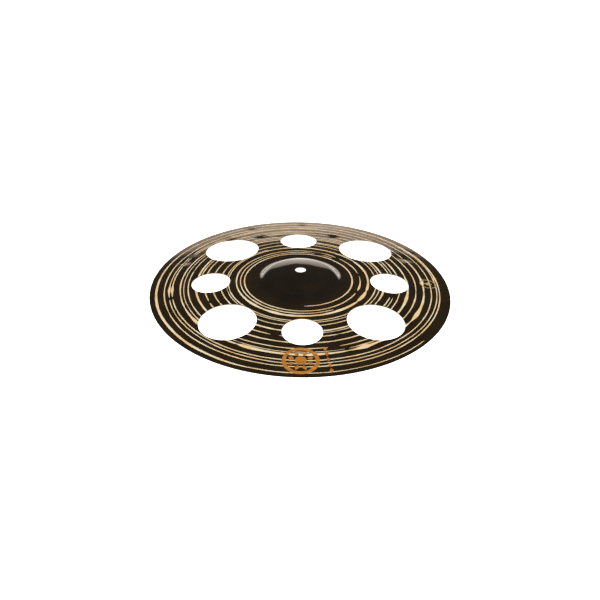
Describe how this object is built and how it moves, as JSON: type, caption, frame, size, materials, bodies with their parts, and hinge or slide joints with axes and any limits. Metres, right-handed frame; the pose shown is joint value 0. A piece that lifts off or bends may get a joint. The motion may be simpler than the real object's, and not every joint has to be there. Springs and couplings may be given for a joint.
{
  "type": "crash cymbal",
  "caption": "Thin hammered bronze crash cymbal with a low bell, a mounting hole and a ring of alternating large and small round sound holes.",
  "frame": {"origin": "centre of the circle on which the rim rests, under the mounting hole", "axes": "+Z along the cymbal's axis, towards the bell; -Y towards the player, where the emblem is; two large holes lie either side of -Y"},
  "size_m": [0.3556, 0.3556, 0.0288],
  "materials": {
    "bronze": "dark burnt skin, waxed, with bright turned lines in a spiral",
    "orange_ink": "satin metallic ink",
    "pale_ink": "satin metallic ink"
  },
  "bodies": {
    "root": {"cymbal": "bronze", "sun_emblem": "orange_ink", "lozenge_row": "orange_ink", "ring_mark": "pale_ink"}
  },
  "joints": []
}
